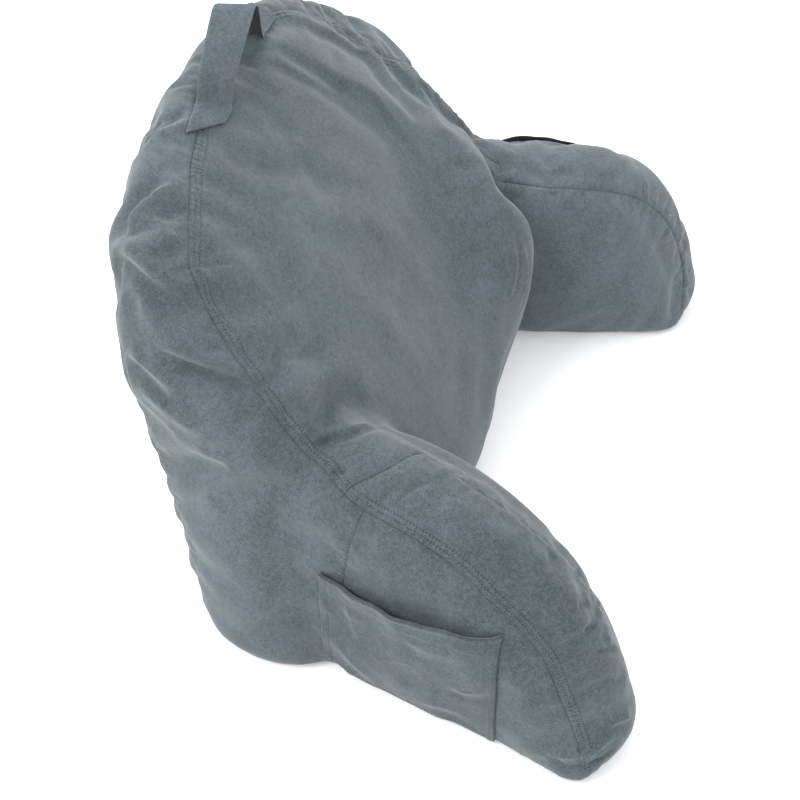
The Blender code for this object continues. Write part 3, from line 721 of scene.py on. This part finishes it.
def suede_finish(name, seams=(), darker=0.0, reads_nap_and_painted_light=True, sheen=0.25):
    """The suede. Along each seam, painted shade in a fine groove and a narrow band beside it, and painted light
    and shade on the small gathers; in rows beside the main one, painted shade, darkest at the needle pricks. A
    point attribute, where it is read, makes the colour lighter or darker and, far below 0, blends in the painted
    shade colour.
    """
    suede = Finish(name)
    place = suede.node("TexCoord", output=3)
    stretched = suede.node("Mapping", Vector=place, Scale=(1.0, 1.0, 0.62))
    broad = suede.node("TexNoise", Vector=stretched, Scale=9.0, Detail=3.0, Roughness=0.55, Distortion=0.5)
    blotch = suede.node("TexNoise", Vector=stretched, Scale=34.0, Detail=4.0, Roughness=0.65, Distortion=0.8)
    fuzz = suede.node("TexNoise", Vector=place, Scale=210.0, Detail=3.0, Roughness=0.8)
    fibre = suede.node("TexNoise", Vector=place, Scale=760.0, Detail=2.0, Roughness=0.8)
    shade = (broad - 0.5) * 0.70 + (blotch - 0.5) * 0.50 + (fuzz - 0.5) * 1.00 + (fibre - 0.5) * 1.6
    shade = shade + 0.5 - darker
    height = fibre * 0.00010 + fuzz * 0.00030 + blotch * 0.0006
    painted_shade = 0.0
    # A point attribute makes the colour lighter or darker; far below 0 it asks for painted shade, as within the
    # strap's loop.
    if reads_nap_and_painted_light:
        nap_and_painted_light_value = suede.node("Attribute", {"attribute_name": "nap"}, 2)
        shade, painted_shade = shade + nap_and_painted_light_value, suede.node("Clamp", Value=(nap_and_painted_light_value + 0.3) * -2.4)
    patchy = suede.node("ValToRGB", {"stops": [(0.42, (0.15, 0.15, 0.15, 1)), (0.62, (1, 1, 1, 1))]},
                        Fac=suede.node("TexNoise", Vector=place, Scale=16.0, Detail=2.0))
    for seam in seams:
        along, signed, apart = suede.channels(seam)
        # Painted shade in the seam's groove and a narrow band beside it, and painted light and shade on the
        # gathers: lighter on their crests, darker between them.
        groove = suede.bell(signed, 0.0007) * suede.bell(apart, 0.010)
        wander = suede.node("TexNoise", Vector=place, Scale=55.0, Detail=2.0, Roughness=0.6)
        ladder = suede.maths("SINE", along * (2 * math.pi / LADDER) + wander * 16.0)
        gathered = suede.bell(signed + 0.0045, 0.0050) * suede.bell(apart, 0.012) * patchy
        height = height - groove * 0.0016 + ladder * gathered * 0.0016
        shade = shade - suede.bell(apart, 0.004) * 0.03 + (ladder - 0.3) * gathered * 0.11
        painted_shade = groove * (patchy * 0.50 + 0.22) + painted_shade
        if seam == "main_seam":
            # Painted shade along the pressed stitch rows, darkest at the needle pricks between the stitches.
            prick = suede.maths("SINE", along * (2 * math.pi / PITCH))
            for row in STITCH_ROWS:
                sunk = suede.bell(signed + row, 0.0008)
                height = height - sunk * 0.0006
                shade = shade - sunk * (0.26 - prick * 0.32)
    colour = suede.blend(suede.node("Clamp", Value=shade), NAP_DARK, NAP_LIGHT)
    # Painted shade: the colour is blended towards the near-black painted shade colour.
    if reads_nap_and_painted_light:
        colour = suede.blend(painted_shade, colour, PAINTED_SHADE_COLOUR)
    suede.wear(Base_Color=colour, Roughness=0.95, Specular_IOR_Level=0.15,
               Sheen_Weight=sheen, Sheen_Roughness=0.5,
               Normal=suede.node("Bump", Height=height, Distance=1.0, Strength=0.3))
    return suede.material


def piece(name, mesh, material):
    """A finished piece that rides on the pillow."""
    mesh.materials.clear()
    mesh.materials.append(material)
    mesh.shade_smooth()
    thing = bpy.data.objects.new(name, mesh)
    bpy.context.scene.collection.objects.link(thing)
    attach(thing, "root")
    return thing


cover = piece("cover", cover_mesh, suede_finish("suede", ("main_seam", "plain_seam")))
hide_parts(*CUSHIONS)

# ------------------------------------------------------------------------------
# Topstitching. Polyester thread in the shade of the cloth, in two rows beside the main seam, on the front
# panel and the arms' bands. A lockstitch: each stitch lies in the nap with both of its ends pulled in.
STITCH_LENGTH, STITCH_RADIUS = 0.0022, 0.00040
TACK_PITCH = 0.0024  # of the close stitches of a bar tack
LINE_SPACING = 0.003
THREAD = (0.098, 0.117, 0.130, 1)

thread = Finish("thread")
thread.wear(Base_Color=THREAD, Roughness=0.7, Sheen_Weight=0.2)


def grid_faces(rows, columns, closed_round=False):
    """Faces between the points of a grid. Its rows may close into rings."""
    number = np.arange(rows * columns).reshape(rows, columns)
    if closed_round:
        number = np.hstack([number, number[:, :1]])
    return np.stack([number[:-1, :-1], number[:-1, 1:], number[1:, 1:], number[1:, :-1]], -1).reshape(-1, 4)


def unit(rows):
    """Each row divided by its length."""
    return rows / np.linalg.norm(rows, axis=-1)[..., None]


def grid_normals(grid):
    return unit(np.cross(np.gradient(grid, axis=0), np.gradient(grid, axis=1)))


def mesh_of(name, points, faces):
    mesh = bpy.data.meshes.new(name)
    mesh.from_pydata(points.reshape(-1, 3), [], faces.tolist())
    return mesh


def grid_mesh(name, grid, closed_round=False):
    return mesh_of(name, grid, grid_faces(*grid.shape[:2], closed_round))


def seam_row(tree, path, offset=0.0, pitch=PITCH):
    """Spots along a path at an offset to its side, brought back to the surface, with their ways and normals."""
    tangent = np.gradient(path, axis=0)
    up = np.array([tree.find_nearest(Vector(spot))[1] for spot in path])
    up = np.stack([np.convolve(np.pad(up[:, k], 4, "edge"), np.ones(9) / 9, "valid") for k in range(3)], -1)
    moved = smooth_path(laid_on(tree, path + unit(np.cross(up, tangent)) * offset), pitch)
    found = [tree.find_nearest(Vector(spot)) for spot in moved]
    spots, ups = np.array([hit[0] for hit in found]), np.array([hit[1] for hit in found])
    return spots, np.gradient(spots, axis=0), ups


def stitched(name, rows):
    """A piece with a stitch at each spot of the rows: a thin four-sided spindle along its way, highest in its
    middle and sunk at both ends by its radius."""
    spots, ways, ups = (np.vstack(parts) for parts in zip(*rows))
    ways = unit(ways)
    sides = unit(np.cross(ups, ways))
    run = np.repeat([-0.5, -0.3, 0.3, 0.5], 4) * STITCH_LENGTH
    thick = np.repeat([0.12, 1, 1, 0.12], 4) * STITCH_RADIUS
    turn = np.tile(np.arange(4) * np.pi / 2, 4)
    sink = np.repeat([-1.0, 0.25, 0.25, -1.0], 4) * STITCH_RADIUS
    cloud = (spots[:, None] + run[:, None] * ways[:, None] + (thick * np.cos(turn))[:, None] * sides[:, None]
             + (thick * np.sin(turn) + sink)[:, None] * ups[:, None])
    ring = np.arange(4)
    walls = np.stack([ring, (ring + 1) % 4, (ring + 1) % 4 + 4, ring + 4], -1)
    faces = np.vstack([walls, walls + 4, walls + 8, [[3, 2, 1, 0], [12, 13, 14, 15]]])
    faces = (faces + 16 * np.arange(len(spots))[:, None, None]).reshape(-1, 4)
    return piece(name, mesh_of(name, cloud, faces), thread.material)


stitched("topstitching", [seam_row(cover_tree, seam_paths["main"], -offset) for offset in STITCH_ROWS])

# ------------------------------------------------------------------------------
# Strap. The same suede, doubled, with its long edges turned in. Each end is sewn flat on the top of the
# cover, and between them it stands up in a loop that is folded nearly flat at its crest.
STRAP_THICK, STRAP_LIFT = 0.003, 0.0008
RING_SPACING = 0.0028
SEWN_RINGS = 17  # from each end to where the loop begins
# Painted shade within the loop, and a painted highlight along its turned edges.
INSIDE_PAINTED_SHADE, RIM_PAINTED_HIGHLIGHT = -0.6, 0.16
STRAP_ROWS = [
    # front edge and rear edge: x, y and z, where z is 0 for a point that lies on the cover
    (-0.0815, 0.1865, 0, -0.1275, 0.2080, 0),
    (-0.0560, 0.1885, 0, -0.1040, 0.2110, 0),
    (-0.0452, 0.1917, 0, -0.0812, 0.2147, 0),
    (-0.0340, 0.1900, 0.4780, -0.0660, 0.2165, 0.4860),
    (-0.0150, 0.1865, 0.4985, -0.0420, 0.2185, 0.5030),
    (0.0040, 0.1835, 0.5170, -0.0130, 0.2205, 0.5200),
    (0.0140, 0.1820, 0.5262, 0.0020, 0.2212, 0.5275),
    (0.0235, 0.1825, 0.5240, 0.0140, 0.2217, 0.5255),
    (0.0400, 0.1870, 0.5060, 0.0370, 0.2260, 0.5080),
    (0.0640, 0.1950, 0.4800, 0.0680, 0.2330, 0.4830),
    (0.0830, 0.2000, 0, 0.0930, 0.2385, 0),
    (0.1050, 0.2015, 0, 0.1130, 0.2395, 0),
    (0.1300, 0.2030, 0, 0.1350, 0.2400, 0),
]


def height_over(tree, x, y):
    """The height of a surface's top under each point."""
    downward = Vector((0, 0, -1))
    heights = [tree.ray_cast(Vector((*spot, 1)), downward)[0].z for spot in zip(x.ravel(), y.ravel())]
    return np.array(heights).reshape(x.shape)


def banded(under, thick, columns=40):
    """Rings round a flat band. Its section is a rounded bar: the height over the underside is
    thick * (1 +- (1 - |u|^6)^(1/3)) / 2 at the share u of the half width. The rings close at both ends."""
    turn = np.linspace(0, 2 * np.pi, columns, endpoint=False)
    u = np.sign(np.cos(turn)) * np.abs(np.cos(turn)) ** 0.6
    v = np.sign(np.sin(turn)) * np.abs(np.sin(turn)) ** 0.5
    number = (u + 1) / 2 * (under.shape[1] - 1)
    low = np.clip(number.astype(int), 0, under.shape[1] - 2)
    share = (number - low)[None, :, None]
    normal = grid_normals(under)
    spot = under[:, low] * (1 - share) + under[:, low + 1] * share
    up = normal[:, low] * (1 - share) + normal[:, low + 1] * share
    up *= np.sign(up[:, :, 2:].mean())
    return spot + up * thick * (1 + v)[None, :, None] / 2


def ends_closed(grid):
    """Adds at each end of a tube of rings a smaller ring and then one drawn together to its middle."""
    first, last = grid[0].mean(0), grid[-1].mean(0)
    return np.concatenate([[first + 0 * grid[0]], [grid[0] * 0.98 + first * 0.02], grid,
                           [grid[-1] * 0.98 + last * 0.02], [last + 0 * grid[-1]]])


def tidy(mesh):
    """Merges doubled points and turns every face outwards."""
    shape = bmesh.new()
    shape.from_mesh(mesh)
    bmesh.ops.remove_doubles(shape, verts=shape.verts, dist=1e-6)
    bmesh.ops.recalc_face_normals(shape, faces=shape.faces)
    shape.to_mesh(mesh)
    shape.free()
    return mesh


strap_rows = np.array(STRAP_ROWS)
for column in (0, 3):
    resting = strap_rows[:, column + 2] == 0
    strap_rows[resting, column + 2] = height_over(cover_tree, *strap_rows[resting, column:column + 2].T)
edges_run = smooth_path(strap_rows, RING_SPACING)
share = np.linspace(0, 1, 25)[None, :, None]
under = edges_run[:, None, :3] * (1 - share) + edges_run[:, None, 3:] * share
floor_height = height_over(cover_tree, under[:, :, 0], under[:, :, 1])
under[:, :, 2] = np.maximum(under[:, :, 2], floor_height) + STRAP_LIFT
strap_mesh = tidy(grid_mesh("strap", ends_closed(banded(under, STRAP_THICK)), closed_round=True))

# Painted shade: within the loop, where shade falls, the strap is made dark, and a painted highlight makes
# its turned edges paler.
spots, back = points_of(strap_mesh), tree_of(grid_mesh("strap_back", under))
inside_painted_shade = np.array([back.find_nearest(Vector(spot))[3] for spot in spots]) < 0.4 * STRAP_THICK
rim = np.min([np.linalg.norm(spots[:, None] - under[:, edge], axis=2).min(1) for edge in (0, -1)], axis=0)
give(strap_mesh, "nap", INSIDE_PAINTED_SHADE * inside_painted_shade + RIM_PAINTED_HIGHLIGHT * hump(rim - 0.002, 0.0015) * ~inside_painted_shade)
strap = piece("carrying_strap", strap_mesh, suede_finish("strap_suede", darker=-0.06, sheen=0.06))
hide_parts("strap")

# Its stitches: round both sewn ends, and a row along each edge.
strap_tree = tree_of(strap_mesh)
top = under + [0, 0, STRAP_THICK]
lines = [top[1:-1, 2], top[1:-1, -3]] + [top[row, 2:-2] for row in (2, SEWN_RINGS, len(top) - SEWN_RINGS, -3)]
rows = [seam_row(strap_tree, smooth_path(line, LINE_SPACING)) for line in lines]
strap_stitches = stitched("strap_stitches", rows)

# ------------------------------------------------------------------------------
# Near pocket. A patch of the same suede with its raw edges turned under, sewn down at its foot and both ends
# with two rows of stitches. Its hem is turned in and gapes, and a bar tack holds each end of it.
POCKET_THICK, POCKET_LIFT = 0.0022, 0.0008
POCKET_GRID = (90, 120)
POCKET_CUT = (0.181, 0.150)  # as sewn: along the hem and up


def pocket_grid(side, rear, front, rear_hem, front_hem, foot, corner, gape, wave=0.0):
    """The underside of a pocket on an arm's outer side, as rows from its foot, whose rear corner is lifted, to
    its hem. It stands off by gape * sin(pi * share along)^0.7 * (share up)^1.5, and by two waves more and less."""
    up, share = np.meshgrid(*(np.linspace(0, 1, count) for count in POCKET_GRID), indexing="ij")
    hem = rear_hem + (front_hem - rear_hem) * share
    low = foot + corner * np.clip(1 - share / 0.14, 0, 1)
    y, z = SETTLED_AT[1] - (rear + (front - rear) * share), low + (hem - low) * up
    inward = Vector((-side, 0, 0))
    x = [abs(cover_tree.ray_cast(Vector((side, *spot)), inward)[0].x) for spot in zip(y.ravel(), z.ravel())]
    x = np.array(x).reshape(POCKET_GRID)
    even = np.pad(x, 8, "edge")
    for _ in range(24):
        even[1:-1, 1:-1] = (even[:-2, 1:-1] + even[2:, 1:-1] + even[1:-1, :-2] + even[1:-1, 2:]) / 4
    x = np.maximum(x, even[8:-8, 8:-8]) + POCKET_LIFT
    sway = 1 + wave * (np.sin(14.5 * share + 0.6) + 0.5 * np.sin(32.0 * share))
    x += gape * sway * np.sin(np.pi * share) ** 0.7 * up**1.5
    return np.stack([side * x, y, z], -1), share, up


def patch_mesh(name, under, over):
    """A thin closed piece between two grids of the same size, joined round their edges."""
    low = grid_faces(*under.shape[:2])
    count = under.shape[0] * under.shape[1]
    number = np.arange(count).reshape(under.shape[:2])
    rim = [np.s_[0, :], np.s_[:, -1], np.s_[-1, ::-1], np.s_[::-1, 0]]
    loop = np.concatenate([number[part][:-1] for part in rim])
    walls = np.stack([loop, np.roll(loop, -1), np.roll(loop, -1) + count, loop + count], -1)
    return tidy(mesh_of(name, np.stack([under, over]), np.vstack([low, low + count, walls])))


def outward_of(under, side):
    """The normals of a pocket's grid, away from the arm."""
    normal = grid_normals(under)
    return normal * np.sign(normal[:, :, :1].mean() * side)


under, share, up = pocket_grid(side=-1, rear=-0.016, front=0.165, rear_hem=0.145, front_hem=0.163,
                               foot=0.006, corner=0.022, gape=0.013, wave=0.12)
outer = outward_of(under, -1)
from_rear, from_front = share * POCKET_CUT[0], (1 - share) * POCKET_CUT[0]
from_hem = (1 - up) * POCKET_CUT[1]
swell = POCKET_THICK + 0.0008 * hump(from_hem - 0.002, 0.002) + 0.0004 * (from_hem < 0.018)
for edge in (from_rear, from_front):
    swell += 0.0003 * hump(edge - 0.004, 0.0035) - 0.0006 * hump(edge - 0.0035, 0.0010)
    swell -= 0.0005 * hump(edge - 0.0090, 0.0012) + 0.0008 * np.exp(-(edge / 0.0015))
rows = under.reshape(-1, 3)
waves = 0.0009 * cloudy(rows, 0.030, 31) + 0.0004 * cloudy(rows, 0.013, 32)
swell += waves.reshape(up.shape) * np.sin(np.pi * share)
POCKET_CREASES = [
    # half width, rise, furrow beside it, path in pixels
    (0.006, 0.002, 0.002, [(490, 691), (468, 693), (446, 685)]),
    (0.009, 0.0013, 0.0013, [(462, 662), (430, 652), (400, 636)]),
    (0.01, 0.0022, 0.002, [(372, 680), (352, 662), (336, 640)]),
    (0.007, 0.0016, 0.0012, [(362, 645), (352, 620), (345, 598)]),
    (0.008, 0.0013, 0.0012, [(475, 722), (440, 706), (410, 698)]),
    (0.0012, 0.0005, 0, [(383, 632), (400, 640), (417, 648), (416, 666), (400, 662), (385, 658),
                         (383, 632)]),
    (0.0012, -0.0005, 0, [(385, 633), (386, 642), (386, 650)]),
]
over = under + outer * swell[:, :, None]
pocket_tree = tree_of(grid_mesh("pocket_face", over))
flat, facing = over.reshape(-1, 3), outer.reshape(-1, 3)
folds = sum(crease(flat, facing, smooth_path(seen_on(pocket_tree, row), 0.004), half_width, rise, furrow)
            for half_width, rise, furrow, row in POCKET_CREASES)
swell += folds.reshape(up.shape) * np.sin(np.pi * share) ** 0.3
over = under + outer * swell[:, :, None]
pocket_suede = suede_finish("pocket_suede", darker=0.24, reads_nap_and_painted_light=False)
pocket = piece("near_pocket", patch_mesh("near_pocket", under, over), pocket_suede)
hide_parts("pocket_near")

# Its stitches: two rows along both ends and the foot, and a bar tack across each end of the hem.
pocket_tree = tree_of(pocket.data)
lines = [over[:-1, column] for column in (2, 5, -4, -7)] + [over[row, 2:-3] for row in (2, 4)]
tacks = [over[-7 + row, 2:14] for row in range(5)] + [over[-9:-1, -12 + column] for column in range(3)]
rows = [seam_row(pocket_tree, smooth_path(line, LINE_SPACING)) for line in lines]
rows += [seam_row(pocket_tree, smooth_path(line, LINE_SPACING), pitch=TACK_PITCH) for line in tacks]
pocket_stitches = stitched("pocket_stitches", rows)

# ------------------------------------------------------------------------------
# Far pocket. Black polyester net, knitted open, bound along its mouth with ribbed black elastic, and sewn to
# the far arm's outer side. Its strands cross in two slanting rows.
NET_PITCH, NET_SLANT, RIB_PITCH = 0.0030, 0.6, 0.0022
NET_CUT = (0.138, 0.136)
NET_THICK, BINDING = 0.0012, 0.014
NET_BLACK, NET_GREY = (0.011, 0.011, 0.012, 1), (0.024, 0.024, 0.026, 1)

under, share, up = pocket_grid(side=1, rear=-0.004, front=0.134, rear_hem=0.211, front_hem=0.193,
                               foot=0.070, corner=0.0, gape=0.034)
thick = NET_THICK + 0.0014 * hump((1 - up) * 0.13 - 0.003, 0.004)
net_mesh = patch_mesh("net_pocket", under, under + outward_of(under, 1) * thick[:, :, None])
cut = np.stack([share * NET_CUT[0], (1 - up) * NET_CUT[1], 0 * up], -1)
give(net_mesh, "cut", np.stack([cut, cut]))  # for the underside and the upper side
net = Finish("net")
along, from_hem, _ = net.channels("cut")
strands = [net.maths("ABSOLUTE", net.maths("SINE", way * (math.pi / NET_PITCH)))
           for way in (along + from_hem * NET_SLANT, along - from_hem * NET_SLANT)]
bound = net.maths("LESS_THAN", from_hem, BINDING)
filled = net.node("Clamp", Value=(0.52 - net.maths("MINIMUM", *strands)) * 8.0 + bound * 8.0)
rib = net.maths("SINE", along * (2 * math.pi / RIB_PITCH)) * bound
net.wear(Base_Color=net.blend(bound * 0.5 + rib * 0.2, NET_BLACK, NET_GREY), Roughness=0.75, Alpha=filled,
         Normal=net.node("Bump", Height=rib * 0.0002, Distance=1.0, Strength=0.5))
net_pocket = piece("net_pocket", net_mesh, net.material)
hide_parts("pocket_far")
